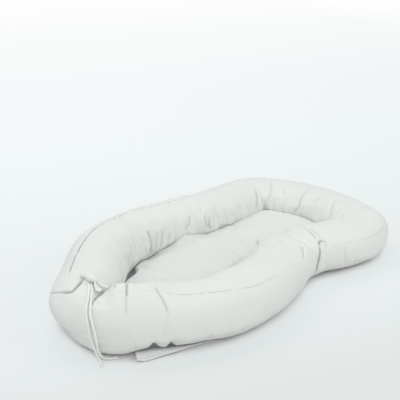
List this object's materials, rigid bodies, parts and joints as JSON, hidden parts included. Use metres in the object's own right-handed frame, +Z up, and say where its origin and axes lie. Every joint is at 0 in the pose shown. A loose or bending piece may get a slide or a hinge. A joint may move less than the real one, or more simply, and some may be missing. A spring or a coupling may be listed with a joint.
{
  "type": "infant lounger",
  "caption": "Waisted infant lounger: a stuffed cotton roll bent into a ring round a thin padded mattress, its ends tied with a cord at the foot.",
  "frame": {"origin": "on the floor, under the middle of the outline, at the underside of the base panel", "axes": "+X from the foot end, where the roll's ends are tied, to the head end; +Y to the far side; +Z up"},
  "size_m": [0.9054, 0.5428, 0.13],
  "materials": {
    "cotton": "matt woven cotton",
    "wadding": "matt polyester wadding",
    "pad_cotton": "matt woven cotton",
    "pad_foam": "matt wadding pad",
    "underside": "matt woven cotton",
    "cord_cotton": "matt round cotton cord"
  },
  "bodies": {
    "lounger": {"base_panel": "underside", "foot_strap": "underside", "head_top_panel": "cotton", "head_outer_panel": "cotton", "head_filling": "wadding"},
    "mattress": {"mattress_top": "pad_cotton", "mattress_bottom": "pad_cotton", "mattress_pad": "pad_foam"},
    "far_side": {"far_top_panel": "cotton", "far_outer_panel": "cotton", "far_filling": "wadding", "mouth_far": "cotton", "tie_link_far": "cord_cotton"},
    "near_side": {"near_top_panel": "cotton", "near_outer_panel": "cotton", "near_filling": "wadding", "mouth_near": "cotton", "tie_link_near": "cord_cotton", "tie_knot": "cord_cotton", "tie_loop": "cord_cotton", "tie_tail_far": "cord_cotton", "tie_tail_near": "cord_cotton"}
  },
  "joints": [
    {"name": "mattress_lift", "type": "slide", "parent": "lounger", "child": "mattress", "axis": [0, 0, 1], "range_m": [0, 0.25]},
    {"name": "far_opening", "type": "hinge", "parent": "lounger", "child": "far_side", "pos_m": [0.1, 0.24254, 0.06], "axis": [0, 0, -1], "range_deg": [0, 8]},
    {"name": "near_opening", "type": "hinge", "parent": "lounger", "child": "near_side", "pos_m": [0.09733, -0.22305, 0.06], "axis": [0, 0, 1], "range_deg": [0, 8]}
  ]
}
